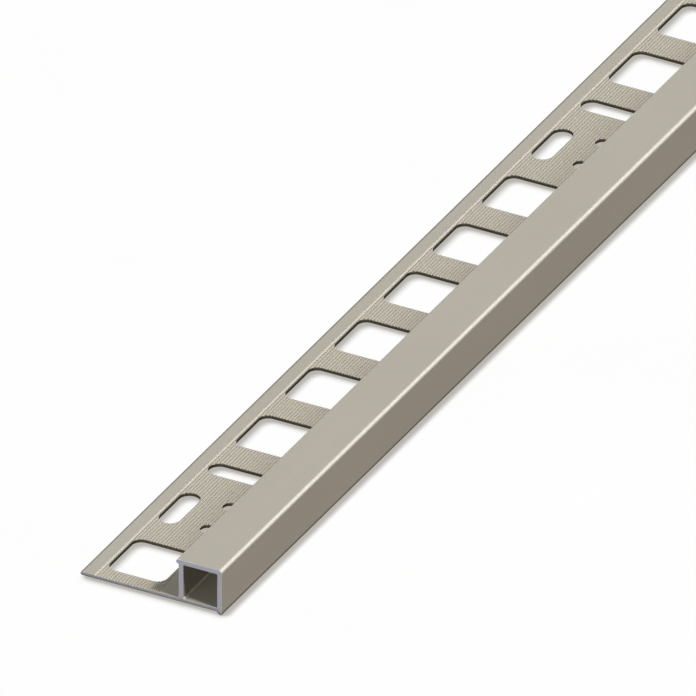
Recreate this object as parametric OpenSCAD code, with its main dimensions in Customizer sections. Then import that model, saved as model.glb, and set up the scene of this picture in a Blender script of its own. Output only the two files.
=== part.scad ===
// Square tile edge trim: one extruded aluminium profile with a punched anchoring leg.
// It lies on its leg. X runs along the stock, the visible front face looks to -Y,
// and Z = 0 is the tip of the foot under the front face, at the middle of the length.

/* [Stock] */
// Length that the stock is sawn to
length = 1000; // [300:1:3000]
// Free width of the anchoring leg, from its outer edge to the tip of the lip
leg_w = 20.9; // [19:0.1:40]
// Thickness of the anchoring leg
leg_t = 0.8; // [0.6:0.1:2]

/* [Head] */
// Width of the visible head, from the front face to the tip of the lip
head_w = 10; // [8:0.5:20]
// Height of the visible head, from the tip of the foot to the top face
head_h = 10; // [8:0.5:20]
// Wall thickness of the hollow head
wall = 1; // [0.8:0.1:1.5]
// Overhang of the lip past the inner wall, over the edge of the tile
lip = 0.55; // [0.2:0.05:1.5]
// Outer radius of the visible front edge
edge_r = 0.8; // [0.2:0.1:1.2]
// Drop of the foot below the leg, which closes off the adhesive bed
foot = 0.6; // [0.2:0.1:1.5]
// Width of the foot at its tip
foot_tip = 0.6; // [0.2:0.05:0.75]
// Fillet in the four corners of the channel
channel_r = 0.35; // [0.1:0.05:1.5]
// Fillet between the leg and the inner wall
root_r = 0.4; // [0.1:0.1:1.5]

/* [Perforation] */
// Length of an anchor window along the stock
window_l = 13; // [12.5:0.1:30]
// Width of an anchor window across the leg
window_w = 12.4; // [9:0.1:14]
// Corner radius of an anchor window
window_r = 2; // [0.5:0.1:4]
// Anchor windows in one group
windows = 6; // [1:1:12]
// Anchor windows left of the first group, at the sawn near end
lead_windows = 1; // [0:1:1]
// Solid bridge between neighbouring openings
bridge = 7.4; // [3:0.1:20]
// Solid bridge between the sawn near end and the first opening
end_bridge = 3.4; // [2.5:0.1:10]
// Least bridge that an opening leaves at a sawn end
end_min = 2.5; // [1:0.1:2.5]
// Solid rim between the outer edge of the leg and the openings
rim = 3.7; // [2:0.1:4]
// Length of a fixing slot
slot_l = 12.4; // [6:0.1:13]
// Width of a fixing slot
slot_w = 4.4; // [3:0.1:5]
// Diameter of a nail hole
nail_d = 3.1; // [1.5:0.1:3.5]
// Distance between the two nail holes beside a fixing slot
nail_spacing = 9.3; // [5:0.1:9.5]
// Distance of the nail holes from the inner side of the windows
nail_inset = 1.75; // [1:0.05:2]
// Width of a cross slot along the stock
cross_w = 4.45; // [3:0.05:8]

/* [Hidden] */
$fn = 48;
aluminium = "#b6b0a3";

// Section, measured from the front face (across) and from the tip of the foot (up)
total_w = leg_w + head_w;
box_w = head_w - lip;
leg_top = foot + leg_t;
channel_w = box_w - 2 * wall;
channel_h = head_h - wall - leg_top;
front_r = min(edge_r, wall);
nose_r = wall / 2;
edge_round = leg_t / 2;

// Places along the stock, measured from the sawn near end
pitch = window_l + bridge;
period = (windows + 1) * pitch + cross_w + bridge;
groups = [0 : ceil(length / period)];
cut_over = 1;

function group_start(g) = end_bridge + g * period - (windows - lead_windows) * pitch;
function fits(start, l) = start >= end_min && start + l <= length - end_min;

window_starts = [
    for (g = groups)
        for (i = [0 : windows - 1])
            let (start = group_start(g) + i * pitch)
                if (fits(start, window_l)) start
];
station_starts = [
    for (g = groups)
        let (start = group_start(g) + windows * pitch)
            if (fits(start, window_l)) start
];
cross_starts = [
    for (g = groups)
        let (start = group_start(g) + (windows + 1) * pitch)
            if (fits(start, cross_w)) start
];

// Rectangle with round corners, from its corner at the origin
module rounded_rectangle(l, w, corner) {
    r = min(corner, l / 2.1, w / 2.1);
    translate([r, 0]) square([l - 2 * r, w]);
    translate([0, r]) square([l, w - 2 * r]);
    for (x = [r, l - r])
        for (y = [r, w - r])
            translate([x, y]) circle(r);
}

// Inside corner between two straight faces at a right angle, filled with a concave round
module corner_fillet(r) {
    difference() {
        square(r);
        translate([r, r]) circle(r);
    }
}

// Flat strip of the leg with its round outer edge
module leg_section() {
    translate([box_w - wall, foot])
        square([total_w - edge_round - box_w + wall, leg_t]);
    translate([total_w - edge_round, foot + edge_round])
        circle(edge_round);
    translate([box_w, leg_top])
        corner_fillet(root_r);
}

// Outer form of the head: square block, round front edge, lip with a round nose, foot
module head_section() {
    translate([0, foot])
        square([box_w, head_h - foot - front_r]);
    translate([front_r, foot])
        square([box_w - front_r, head_h - foot]);
    translate([front_r, head_h - front_r])
        circle(front_r);
    translate([box_w - wall, head_h - wall])
        square([lip + wall - nose_r, wall]);
    translate([head_w - nose_r, head_h - nose_r])
        circle(nose_r);
    polygon([[0, 0], [foot_tip, 0], [foot_tip + foot, foot], [0, foot]]);
}

// The leg and the head as one section, with the hollow taken out
module profile_section() {
    difference() {
        union() {
            leg_section();
            head_section();
        }
        translate([wall, leg_top])
            rounded_rectangle(channel_w, channel_h, channel_r);
    }
}

// Slot with round ends, l from end to end, centred on the origin along X
module slot_outline(l, w) {
    square([l - w, w], center = true);
    for (side = [-1, 1])
        translate([side * (l - w) / 2, 0]) circle(d = w);
}

// Fixing slot near the outer edge, and a pair of nail holes towards the head
module fixing_station() {
    translate([slot_l / 2, window_w - slot_w / 2])
        slot_outline(slot_l, slot_w);
    for (side = [-1, 1])
        translate([window_l / 2 + side * nail_spacing / 2, nail_inset])
            circle(d = nail_d);
}

module cross_slot() {
    translate([cross_w / 2, window_w / 2])
        rotate(90)
            slot_outline(window_w, cross_w);
}

// One opening, punched straight through the leg
module punch(start) {
    translate([start - length / 2, total_w / 2 - rim - window_w, foot - cut_over])
        linear_extrude(leg_t + 2 * cut_over)
            children();
}

module trim_profile() {
    color(aluminium)
        difference() {
            translate([-length / 2, -total_w / 2, 0])
                rotate([90, 0, 90])
                    linear_extrude(length)
                        profile_section();
            for (start = window_starts)
                punch(start) rounded_rectangle(window_l, window_w, window_r);
            for (start = station_starts)
                punch(start) fixing_station();
            for (start = cross_starts)
                punch(start) cross_slot();
        }
}

trim_profile();
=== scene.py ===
import math

import bmesh
import bpy
from mathutils import Matrix, Vector


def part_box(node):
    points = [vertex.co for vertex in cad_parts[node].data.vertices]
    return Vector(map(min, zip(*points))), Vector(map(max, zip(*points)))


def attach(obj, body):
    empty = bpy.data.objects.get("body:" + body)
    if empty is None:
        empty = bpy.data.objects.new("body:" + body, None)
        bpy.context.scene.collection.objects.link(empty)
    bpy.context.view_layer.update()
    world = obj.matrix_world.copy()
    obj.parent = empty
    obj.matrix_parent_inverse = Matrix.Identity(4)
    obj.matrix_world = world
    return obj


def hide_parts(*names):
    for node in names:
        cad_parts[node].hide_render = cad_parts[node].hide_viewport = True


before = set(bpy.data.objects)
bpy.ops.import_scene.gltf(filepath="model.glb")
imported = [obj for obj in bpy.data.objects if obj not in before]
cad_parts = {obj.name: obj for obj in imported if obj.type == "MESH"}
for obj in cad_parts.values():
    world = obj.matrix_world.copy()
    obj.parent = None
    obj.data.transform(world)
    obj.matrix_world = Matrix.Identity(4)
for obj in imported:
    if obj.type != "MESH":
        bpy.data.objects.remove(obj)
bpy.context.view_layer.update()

# The bar is one aluminium extrusion, pressed through a die: a hollow square head with a lip over
# the tile and a foot under its front face, and a thin leg for the adhesive bed with fine grip
# ribs along its top. Sizes are in millimetres, across from the front face and up from the foot.
MM = 0.001
low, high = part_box("trim_profile")
length = (high.x - low.x) / MM
total_w = (high.y - low.y) / MM
head_h = (high.z - low.z) / MM
head_w = 10
wall = 1
lip = 0.55
front_r = 0.8
channel_r = 0.35
root_r = 0.4
foot = 0.6
foot_tip = 0.6
foot_r = 0.18
leg_t = 0.8
plain_w = 3.05  # smooth strip along the outer edge of the leg
step_w = 0.28  # slope from that strip down to the first valley
rib_count = 21
rib_pitch = 0.669
rib_h = 0.17
rib_rise_w = 0.309  # from a valley to the crest on its head side
first_valley = 3.474  # from the outer edge to where the first rib starts
round_turn = 11.25  # degrees between neighbouring points of a round stretch
front_turn = 7.5
box_w = head_w - lip
leg_top = foot + leg_t
nose_r = wall / 2
leg_round = leg_t / 2
ribs_end = total_w - plain_w - step_w


def arc(across, up, radius, start, end, turn=round_turn):
    """Points on a round stretch of an outline, between two angles in degrees."""
    steps = round(abs(end - start) / turn)
    angles = [math.radians(start + (end - start) * step / steps) for step in range(steps + 1)]
    return [(across + radius * math.cos(angle), up + radius * math.sin(angle)) for angle in angles]


def round_rectangle(across, up, w, h, radius, turn=round_turn):
    """Outline of a rectangle with round corners, from its lower left corner."""
    left, right = across + radius, across + w - radius
    bottom, top = up + radius, up + h - radius
    outline = arc(right, bottom, radius, -90, 0, turn)
    outline += arc(right, top, radius, 0, 90, turn)
    outline += arc(left, top, radius, 90, 180, turn)
    outline += arc(left, bottom, radius, 180, 270, turn)
    return outline


def ribbed_top():
    """Points along the top of the leg, from the plain strip at its outer edge to the head."""
    points = [(total_w - plain_w, leg_top), (ribs_end, leg_top - rib_h)]
    for rib in range(rib_count):
        valley = total_w - first_valley - rib * rib_pitch
        points += [(valley, leg_top - rib_h), (valley - rib_rise_w, leg_top)]
    return points


outer_section = arc(foot_r, foot_r, foot_r, 180, 270)
outer_section += [(foot_tip, 0), (foot_tip + foot, foot)]
outer_section += arc(total_w - leg_round, foot + leg_round, leg_round, -90, 90)
outer_section += ribbed_top()
outer_section += arc(box_w + root_r, leg_top + root_r, root_r, 270, 180)
outer_section += [(box_w, head_h - wall)]
outer_section += arc(head_w - nose_r, head_h - nose_r, nose_r, -90, 90)
outer_section += arc(front_r, head_h - front_r, front_r, 90, 180, front_turn)

channel_w = box_w - 2 * wall
channel_h = head_h - wall - leg_top
channel_section = round_rectangle(wall, leg_top, channel_w, channel_h, channel_r)

# The bar is sawn to length, and a brush breaks the sharp edges that the saw leaves at both ends,
# outside and in the hollow. The hollow is made as a separate core, which is later taken out of
# the bar. Each face is marked with the finish that it gets.
SKIN, SAWN, PUNCHED = range(3)
broken_edge = 0.05
over_cut = 1  # how far a core or punch reaches past the metal


def drawn_in(outline, amount):
    """The same outline moved in by a small amount, or out where the amount is negative."""
    moved = []
    for before, here, after in zip(outline[-1:] + outline[:-1], outline, outline[1:] + outline[:1]):
        facing = []
        for start, end in ((before, here), (here, after)):
            run = math.dist(start, end)
            facing.append(((end[1] - start[1]) / run, (start[0] - end[0]) / run))
        (ax, ay), (bx, by) = facing
        reach = amount / (1 + ax * bx + ay * by)
        moved.append((here[0] - (ax + bx) * reach, here[1] - (ay + by) * reach))
    return moved


def across_bar(outline, along):
    """A section's outline as a ring across the bar, at a distance from its near end."""
    return [Vector((along - length / 2, across - total_w / 2, up)) for across, up in outline]


def close_round(solid, rings, bands, ends):
    """Adds a closed solid through a row of rings. bands and ends are the finishes of its faces."""
    rows = [[solid.verts.new(point) for point in ring] for ring in rings]
    for row, following, finish in zip(rows, rows[1:], bands):
        for side in range(len(row)):
            face = solid.faces.new((row[side - 1], row[side], following[side], following[side - 1]))
            face.material_index = finish
    for row in (rows[0], rows[-1]):
        solid.faces.new(row).material_index = ends


bar = bmesh.new()
brushed_section = drawn_in(outer_section, broken_edge)
bar_rings = [
    across_bar(brushed_section, 0),
    across_bar(outer_section, broken_edge),
    across_bar(outer_section, length - broken_edge),
    across_bar(brushed_section, length),
]
close_round(bar, bar_rings, [SAWN, SKIN, SAWN], SAWN)

core = bmesh.new()
brushed_channel = drawn_in(channel_section, -broken_edge)
core_rings = [
    across_bar(brushed_channel, -over_cut),
    across_bar(brushed_channel, 0),
    across_bar(channel_section, broken_edge),
    across_bar(channel_section, length - broken_edge),
    across_bar(brushed_channel, length),
    across_bar(brushed_channel, length + over_cut),
]
close_round(core, core_rings, [SAWN, SAWN, SKIN, SAWN, SAWN], SAWN)

# The leg is punched in a press with a repeating row of openings: six windows that the adhesive
# comes up through, a screw slot with two nail holes beside it, and one slot across the leg.
# The punch rolls the top edge of each opening over slightly.
window_l = 13
window_w = 12.4
window_r = 2
windows = 6
lead_windows = 1  # left of the first group at the sawn near end
bridge = 7.4
end_bridge = 3.4  # between the near end and the first opening
end_min = 2.5  # least bridge that an opening leaves at a sawn end
rim = 3.7
slot_l = 12.4
slot_w = 4.4
nail_d = 3.1
nail_spacing = 9.3
nail_inset = 1.75
cross_w = 4.45
edge_roll = 0.05
opening_turn = 10
full_round = 1 / 2.001  # of a width: just under half, so that no side between two rounds is empty
window_pitch = window_l + bridge
period = (windows + 1) * window_pitch + cross_w + bridge
inner_side = total_w - rim - window_w
punches = bmesh.new()


def punch(along, across, long, wide, radius, turn=opening_turn):
    """Adds a punch for one opening, from its corner nearest to the near end and the head."""
    if along < end_min or along + long > length - end_min:
        return
    opening = round_rectangle(along - length / 2, across - total_w / 2, long, wide, radius, turn)
    rolled = drawn_in(opening, -edge_roll)
    levels = [
        (opening, foot - over_cut),
        (opening, leg_top - edge_roll),
        (rolled, leg_top),
        (rolled, leg_top + over_cut),
    ]
    rings = [[Vector((x, y, up)) for x, y in outline] for outline, up in levels]
    close_round(punches, rings, [PUNCHED, SKIN, SKIN], PUNCHED)


for group in range(math.ceil(length / period) + 1):
    start = end_bridge + group * period - (windows - lead_windows) * window_pitch
    for window in range(windows):
        punch(start + window * window_pitch, inner_side, window_l, window_w, window_r)
    station = start + windows * window_pitch
    punch(station, total_w - rim - slot_w, slot_l, slot_w, slot_w * full_round)
    for side in (-1, 1):
        nail = station + window_l / 2 + side * nail_spacing / 2 - nail_d / 2
        nail_across = inner_side + nail_inset - nail_d / 2
        punch(nail, nail_across, nail_d, nail_d, nail_d * full_round, round_turn)
    punch(station + window_pitch, inner_side, cross_w, window_w, cross_w * full_round)


# The skin is etched in a bath and anodised a warm satin grey, over the faint lines that the die
# drew along the bar. Painted highlights brighten its round edges, the inside corner of the hollow,
# the step beside the ribs and the crests of the ribs, and painted shade darkens the foot, the
# valleys of the ribs, the crests near the head and the outer edge of the leg.
class Wire:
    """A value in a finish's node tree. Sums and products of wires and numbers add Math nodes."""

    noise_low, noise_high = 0.3, 0.7
    mix_factor, mix_first, mix_second, mix_colour = 0, 6, 7, 2

    def __init__(self, tree, socket=None):
        self.tree = tree
        self.socket = socket

    def node(self, kind, settings=None, sockets=None, output=0):
        """Adds a node: its settings first, then what goes into its sockets."""
        made = self.tree.nodes.new("ShaderNode" + kind)
        for name, value in (settings or {}).items():
            setattr(made, name, value)
        for name, value in (sockets or {}).items():
            if isinstance(value, Wire):
                self.tree.links.new(value.socket, made.inputs[name])
            else:
                made.inputs[name].default_value = value
        return Wire(self.tree, made.outputs[output])

    def maths(self, operation, first, second):
        return self.node("Math", {"operation": operation}, {0: first, 1: second})

    def __add__(self, other):
        return self.maths("ADD", self, other)

    def __sub__(self, other):
        return self.maths("SUBTRACT", self, other)

    def __rsub__(self, other):
        return self.maths("SUBTRACT", other, self)

    def __mul__(self, other):
        return self.maths("MULTIPLY", self, other)

    def __pow__(self, other):
        return self.maths("POWER", self, other)

    __radd__ = __add__
    __rmul__ = __mul__

    def rising(self, start, end):
        """0 below start, 1 above end, and a smooth rise between them."""
        limits = {"Value": self, "From Min": start, "From Max": end}
        return self.node("MapRange", {"interpolation_type": "SMOOTHSTEP"}, limits)

    def blend(self, first, second):
        """From the first colour to the second as this value goes from 0 to 1."""
        sockets = {self.mix_factor: self, self.mix_first: first, self.mix_second: second}
        return self.node("Mix", {"data_type": "RGBA"}, sockets, self.mix_colour)

    def mottle(self, tones):
        """Between two tones, over the range in which most of a noise lies."""
        return self.rising(self.noise_low, self.noise_high).blend(*tones)

    def stretched(self, x, y, z):
        """This place with its axes stretched or pressed together."""
        return self.node("VectorMath", {"operation": "MULTIPLY"}, {0: self, 1: (x, y, z)})

    def part(self, axis):
        """One coordinate of this place."""
        return self.node("SeparateXYZ", None, {0: self}, axis)

    def noise(self, scale, detail=2.0):
        return self.node("TexNoise", None, {"Vector": self, "Scale": scale, "Detail": detail})

    def raised(self, strength, depth):
        """This value as a relief, with its depth in millimetres."""
        sockets = {"Strength": strength, "Distance": depth * MM, "Height": self}
        return self.node("Bump", None, sockets)

    def feed(self, shader, name):
        self.tree.links.new(self.socket, shader.inputs[name])


def new_finish(name, **uniform):
    """A material, its shader with the values that are the same all over, and places in mm."""
    material = bpy.data.materials.new(name)
    material.use_nodes = True
    shader = material.node_tree.nodes["Principled BSDF"]
    for socket, value in uniform.items():
        shader.inputs[socket.replace("_", " ")].default_value = value
    place = Wire(material.node_tree).node("TexCoord", output="Object")
    return material, shader, place.stretched(1 / MM, 1 / MM, 1 / MM)


def on_section(place):
    """A place on the section: across from the front face, and up from the foot."""
    return place.part("Y") + total_w / 2, place.part("Z")


def distance(across, up, point_across, point_up):
    """How far a place on the section is from one point of it."""
    return ((across - point_across) ** 2 + (up - point_up) ** 2) ** 0.5


skin, skin_shader, place = new_finish("anodised_skin", Metallic=0.25)
across, up = on_section(place)

# Die lines run on along the bar, the etch is a fine even grain, and the bath leaves wide patches
drawn_out = 0.004
die_line_scale = 3
die_line_detail = 3
etch_scale = 3
patch_squeeze = 0.2
patch_scale = 0.03
patch_detail = 1
die_share = 0.5
etch_share = 0.2
patch_share = 0.3
die_lines = place.stretched(drawn_out, 1, 1).noise(die_line_scale, die_line_detail)
etch = place.noise(etch_scale)
patches = place.stretched(1, patch_squeeze, patch_squeeze).noise(patch_scale, patch_detail)
tone = die_share * die_lines + etch_share * etch + patch_share * patches
satin_tones = (0.315, 0.306, 0.270, 1), (0.337, 0.328, 0.290, 1)
satin = tone.mottle(satin_tones)

# Painted shade on the round outer edge of the leg
outer_edge_shade = (0.165, 0.158, 0.130, 1)
shaded_edge_w = 0.42
edge_fade = 0.20
edge_shade_mask = across.rising(total_w - shaded_edge_w - edge_fade, total_w - shaded_edge_w)
with_edge_shade = edge_shade_mask.blend(satin, outer_edge_shade)

# The ribs: painted shade in the valleys, a painted highlight on the crests, and painted shade on
# the crests near the head
crest_highlight_tones = (0.345, 0.335, 0.295, 1), (0.369, 0.359, 0.317, 1)
crest_head_shade = (0.298, 0.281, 0.241, 1)
valley_shade = (0.262, 0.254, 0.221, 1)
head_shade_fade_from = 5
head_shade_fade_to = 14
hairline = 0.01
ribs_fade = 0.05
above_leg = 0.1
above_fade = 0.2
out_of_head_shade = across.rising(box_w + head_shade_fade_from, box_w + head_shade_fade_to)
crests = out_of_head_shade.blend(crest_head_shade, tone.mottle(crest_highlight_tones))
ribs = up.rising(leg_top - rib_h, leg_top).blend(valley_shade, crests)
outside_ribs = across.rising(ribs_end - ribs_fade, ribs_end)
above_ribs = up.rising(leg_top + above_leg, leg_top + above_leg + above_fade)
on_ribs = across.rising(box_w, box_w + hairline) * (1 - outside_ribs) * (1 - above_ribs)
with_ribs = on_ribs.blend(with_edge_shade, ribs)

# A painted highlight along the lower inside corner of the hollow
corner_highlight = (0.56, 0.52, 0.45, 1)
corner_line_r = 0.22
corner_fade = 0.14
from_corner = distance(across, up, box_w - wall, leg_top)
off_corner = from_corner.rising(corner_line_r, corner_line_r + corner_fade)
with_corner = off_corner.blend(corner_highlight, with_ribs)

# A painted highlight along the round front edge of the head
front_highlight = (0.47, 0.477, 0.44, 1)
front_line_r = 0.36
front_fade = 0.44
from_front_edge = distance(across, up, 0, head_h)
off_front_edge = from_front_edge.rising(front_line_r, front_line_r + front_fade)
with_front_edge = off_front_edge.blend(front_highlight, with_corner)

# A painted highlight along the nose of the lip
nose_highlight = (0.50, 0.485, 0.43, 1)
nose_line_w = 0.25
nose_fade = 0.20
under_lip = 0.1
at_lip = up.rising(head_h - wall - under_lip, head_h - wall)
at_nose = across.rising(head_w - nose_line_w - nose_fade, head_w - nose_line_w)
with_nose = (at_lip * at_nose).blend(with_front_edge, nose_highlight)

# A painted highlight on the step between the plain strip and the ribs
step_highlight = (0.37, 0.367, 0.333, 1)
step_line_w = 0.13
step_fade = 0.09
from_step = ((across - (ribs_end + step_w / 2)) ** 2) ** 0.5
off_step = from_step.rising(step_line_w, step_line_w + step_fade)
with_step = off_step.blend(step_highlight, with_nose)

# Painted shade along the foot
foot_shade_colour = (0.115, 0.110, 0.100, 1)
foot_line = 0.30
foot_fade = 0.45
off_foot = up.rising(foot_line, foot_line + foot_fade)
off_foot.blend(foot_shade_colour, with_step).feed(skin_shader, "Base Color")

gloss = 0.42
die_roughness = 0.07
etch_roughness = 0.06
die_relief = 0.8
etch_relief = 0.2
relief_strength = 0.03
relief_depth = 0.02
(gloss + die_roughness * die_lines + etch_roughness * etch).feed(skin_shader, "Roughness")
relief = die_relief * die_lines + etch_relief * etch
relief.raised(relief_strength, relief_depth).feed(skin_shader, "Normal")

# The sawn ends are bare aluminium, with fine arcs from the saw blade, which came down from behind.
# The head is clean and bluish. The thin leg is duller, and painted shade darkens its lower edge
# and the tip of the foot.
blade_tones = (0.425, 0.46, 0.585, 1), (0.535, 0.58, 0.745, 1)
leg_tones = (0.31, 0.34, 0.39, 1), (0.39, 0.43, 0.49, 1)
leg_end_shade = (0.110, 0.115, 0.120, 1)
foot_tip_shade = (0.170, 0.185, 0.230, 1)
blade_behind = 60  # centre of the saw blade, from the middle of the bar's width
blade_up = 150
mark_scale = 5
mark_detail = 2
smear_scale = 2.5
mark_share = 0.7
smear_share = 0.3
leg_fade = 0.3
leg_shade_from = foot - 0.05
leg_shade_to = foot + 0.4
foot_tip_shade_height = 0.65
foot_end_from = -0.4
foot_end_to = 1.8
bare_gloss = 0.32
mark_roughness = 0.3
mark_strength = 0.25
mark_depth = 0.03

sawn, sawn_shader, place = new_finish("sawn_aluminium", Metallic=0.35)
across, up = on_section(place)
from_blade = distance(across, up, total_w / 2 + blade_behind, blade_up)
mark_sockets = {"W": from_blade, "Scale": mark_scale, "Detail": mark_detail}
marks = from_blade.node("TexNoise", {"noise_dimensions": "1D"}, mark_sockets)
bare = mark_share * marks + smear_share * place.noise(smear_scale)
head_end = bare.mottle(blade_tones)
# painted shade along the lower edge of the leg's end and at the bottom of the foot's end
leg_end = up.rising(leg_shade_from, leg_shade_to).blend(leg_end_shade, bare.mottle(leg_tones))
foot_end = up.rising(0, foot_tip_shade_height).blend(foot_tip_shade, head_end)
over_leg = up.rising(leg_top - leg_fade, leg_top + leg_fade)
behind_foot = across.rising(foot_end_from, foot_end_to)
sawn_face = behind_foot.blend(foot_end, over_leg.blend(leg_end, head_end))
sawn_face.feed(sawn_shader, "Base Color")
(bare_gloss + mark_roughness * marks).feed(sawn_shader, "Roughness")
marks.raised(mark_strength, mark_depth).feed(sawn_shader, "Normal")

# The walls of the punched openings are bare, and their dark colour is painted shade. The punch
# burnished them under the rolled edge, and below that the metal tore off in a rough band. Walls
# across the bar are painted lighter than walls along it, as painted light from the way they face.
shaded_torn_along = (0.022, 0.021, 0.016, 1), (0.057, 0.053, 0.042, 1)
shaded_torn_across = (0.040, 0.038, 0.031, 1), (0.100, 0.095, 0.078, 1)
shaded_burnished_along = (0.095, 0.090, 0.072, 1)
shaded_burnished_across = (0.160, 0.153, 0.126, 1)
drag_squeeze = 0.12
drag_scale = 6
grain_scale = 11
grain_detail = 3
drag_reach = 0.3
burnished_from = 0.2
burnished_to = 0.05
torn_gloss = 0.65
burnished_gloss = 0.25
torn_strength = 0.3
torn_depth = 0.04

punched, punched_shader, place = new_finish("punched_wall", Metallic=0.3)
up = place.part("Z")
drag = place.stretched(1, 1, drag_squeeze).noise(drag_scale)
grain = place.noise(grain_scale, grain_detail)
burnished = (up + drag_reach * drag).rising(leg_top - burnished_from, leg_top - burnished_to)
crosswise = place.node("TexCoord", output="Normal").part("X") ** 2
torn_tone = crosswise.blend(grain.mottle(shaded_torn_along), grain.mottle(shaded_torn_across))
burnished_tone = crosswise.blend(shaded_burnished_along, shaded_burnished_across)
burnished.blend(torn_tone, burnished_tone).feed(punched_shader, "Base Color")
(torn_gloss - burnished_gloss * burnished).feed(punched_shader, "Roughness")
torn = drag + grain * (1 - burnished)
torn.raised(torn_strength, torn_depth).feed(punched_shader, "Normal")


# The finished trim is the bar with the core and the punches taken out, as one piece. Its round
# stretches are smooth and its corners sharp, and it takes the place of the plain solid.
smooth_under = 14  # degrees between two faces that still count as one round stretch


def as_object(name, solid):
    """An object with the trim's three finishes, from a solid in millimetres."""
    bmesh.ops.recalc_face_normals(solid, faces=solid.faces)
    mesh = bpy.data.meshes.new(name)
    solid.to_mesh(mesh)
    solid.free()
    for finish in (skin, sawn, punched):
        mesh.materials.append(finish)
    made = bpy.data.objects.new(name, mesh)
    bpy.context.scene.collection.objects.link(made)
    return made


trim = as_object("edge_trim", bar)
cutters = [as_object("hollow_cutter", core), as_object("punch_cutter", punches)]
for cutter in cutters:
    cut = trim.modifiers.new(cutter.name, "BOOLEAN")
    cut.operation = "DIFFERENCE"
    cut.solver = "EXACT"
    cut.object = cutter
ready = trim.evaluated_get(bpy.context.evaluated_depsgraph_get())
shaped = bpy.data.meshes.new_from_object(ready)
trim.modifiers.clear()
trim.data = shaped
for cutter in cutters:
    bpy.data.objects.remove(cutter)
shaped.transform(Matrix.Scale(MM, 4))
shaped.shade_smooth()
shaped.set_sharp_from_angle(angle=math.radians(smooth_under))
even_shading = trim.modifiers.new("even_shading", "WEIGHTED_NORMAL")
even_shading.keep_sharp = True
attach(trim, "root")
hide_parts("trim_profile")

# The floor is a plain sheet of white paper that the trim lies on, glowing evenly. Painted shade
# darkens it only close to the trim, more in front of it than behind. The metal doesn't mirror the
# sheet, so that its glare doesn't wash out the sides.
floor_side = 12  # metres
floor_cells = 4
paper_tones = (0.98, 0.98, 0.975, 1), (1, 1, 1, 1)
paper_scale = 0.02
paper_detail = 3
contact_shade = (0.476, 0.463, 0.427, 1)
contact_reach = 2.18
contact_rays = 16
contact_full = 0.42
contact_none = 1
sky_side = Vector((0.19, 0.868, 1)).normalized()

floor_sheet = bmesh.new()
bmesh.ops.create_grid(floor_sheet, x_segments=floor_cells, y_segments=floor_cells, size=floor_side / 2)
floor_mesh = bpy.data.meshes.new("studio_floor")
floor_sheet.to_mesh(floor_mesh)
floor_sheet.free()
floor = bpy.data.objects.new("studio_floor", floor_mesh)
bpy.context.scene.collection.objects.link(floor)
paper_lit = {"Base_Color": (0, 0, 0, 1), "Specular_IOR_Level": 0, "Emission_Strength": 1}
paper, paper_shader, place = new_finish("white_paper", **paper_lit)
sky = place.node("CombineXYZ", None, {"X": sky_side.x, "Y": sky_side.y, "Z": sky_side.z})
open_sockets = {"Distance": contact_reach * MM, "Normal": sky}
openness = place.node("AmbientOcclusion", {"samples": contact_rays}, open_sockets, "AO")
paper_tone = place.noise(paper_scale, paper_detail).blend(*paper_tones)
# painted contact shade, from how open the floor is towards the sky side
clear_of_trim = openness.rising(contact_full, contact_none)
clear_of_trim.blend(contact_shade, paper_tone).feed(paper_shader, "Emission Color")
floor_mesh.materials.append(paper)
floor.visible_diffuse = False
floor.visible_glossy = False

# The light is a studio dome, dim in front and bright behind, with three lamps. The key light falls
# on the front and the top, the edge light glances along the round front edge, and the end light
# reaches into the hollow. Only the edge light is mirrored in the metal.
dome_front = (0.09, 0.08, 0.05, 1)
dome_back = (0.53, 0.55, 0.545, 1)
dome_below = (0.06, 0.02, 0.01, 1)
dome_turn = 0.6
dome_horizon = 0.05

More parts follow.
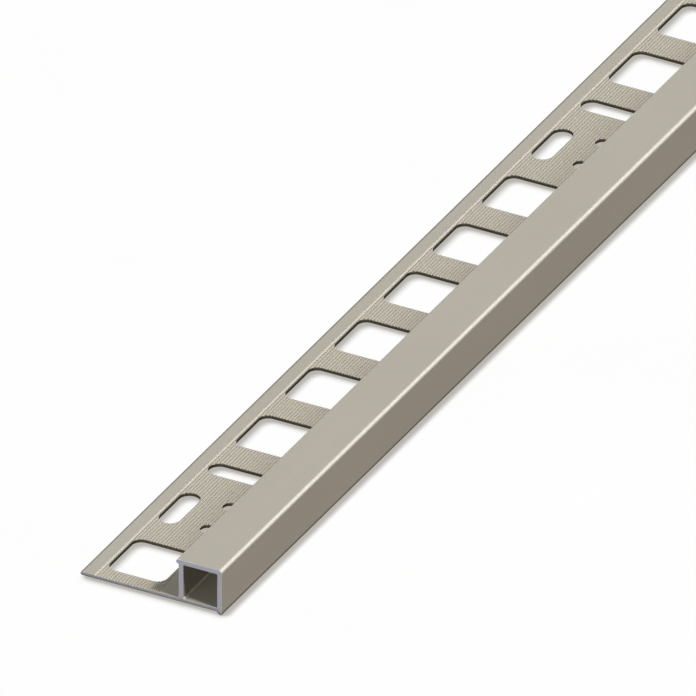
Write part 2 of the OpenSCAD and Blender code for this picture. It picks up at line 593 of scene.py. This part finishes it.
studio = bpy.data.worlds.new("studio_dome")
bpy.context.scene.world = studio
studio.use_nodes = True
direction = Wire(studio.node_tree).node("TexCoord", output="Generated")
dome_walls = direction.part("Y").rising(-dome_turn, dome_turn).blend(dome_front, dome_back)
dome = direction.part("Z").rising(-dome_horizon, dome_horizon).blend(dome_below, dome_walls)
dome.feed(studio.node_tree.nodes["Background"], "Color")


def lamp(name, towards, strength, spread, colour, mirrored):
    """Parallel light from a direction, softened by its spread in degrees."""
    light = bpy.data.lights.new(name, "SUN")
    light.energy = strength
    light.angle = math.radians(spread)
    light.color = colour
    made = bpy.data.objects.new(name, light)
    made.rotation_mode = "QUATERNION"
    made.rotation_quaternion = Vector(towards).to_track_quat("Z", "Y")
    made.visible_glossy = mirrored
    bpy.context.scene.collection.objects.link(made)


lamp(
    "key_light",
    towards=(-0.07, -0.58, 0.811),
    strength=4.0,
    spread=7,
    colour=(1, 0.95, 0.92),
    mirrored=False,
)
lamp(
    "edge_light",
    towards=(0.759, -0.45, 0.471),
    strength=1.2,
    spread=36,
    colour=(1, 0.93, 0.85),
    mirrored=True,
)
lamp(
    "end_light",
    towards=(-0.96, -0.10, 0.26),
    strength=2.6,
    spread=40,
    colour=(1, 0.93, 0.80),
    mirrored=False,
)

# The camera looks down on the near end from the front, without perspective and at the picture's
# own scale. It is aimed at the place level with the leg's underside that the middle of the
# picture shows, measured from the near end and from the leg's outer edge.
picture_px = 696
px_per_mm = 5.17
azimuth = math.radians(-62.21)
elevation = math.radians(30.97)
aim_along = 99.47
aim_across = 6.09
stand_off = 1.5  # metres
view_depth = 20  # metres

aim = Vector((low.x + aim_along * MM, high.y - aim_across * MM, foot * MM))
level = math.cos(elevation)
back = Vector((math.sin(azimuth) * level, -math.cos(azimuth) * level, math.sin(elevation)))
camera_data = bpy.data.cameras.new("picture_camera")
camera_data.type = "ORTHO"
camera_data.ortho_scale = picture_px / px_per_mm * MM
camera_data.clip_end = view_depth
camera = bpy.data.objects.new("picture_camera", camera_data)
camera.location = aim + back * stand_off
camera.rotation_mode = "QUATERNION"
camera.rotation_quaternion = back.to_track_quat("Z", "Y")
bpy.context.scene.collection.objects.link(camera)
bpy.context.scene.camera = camera
bpy.context.scene.view_settings.view_transform = "Standard"
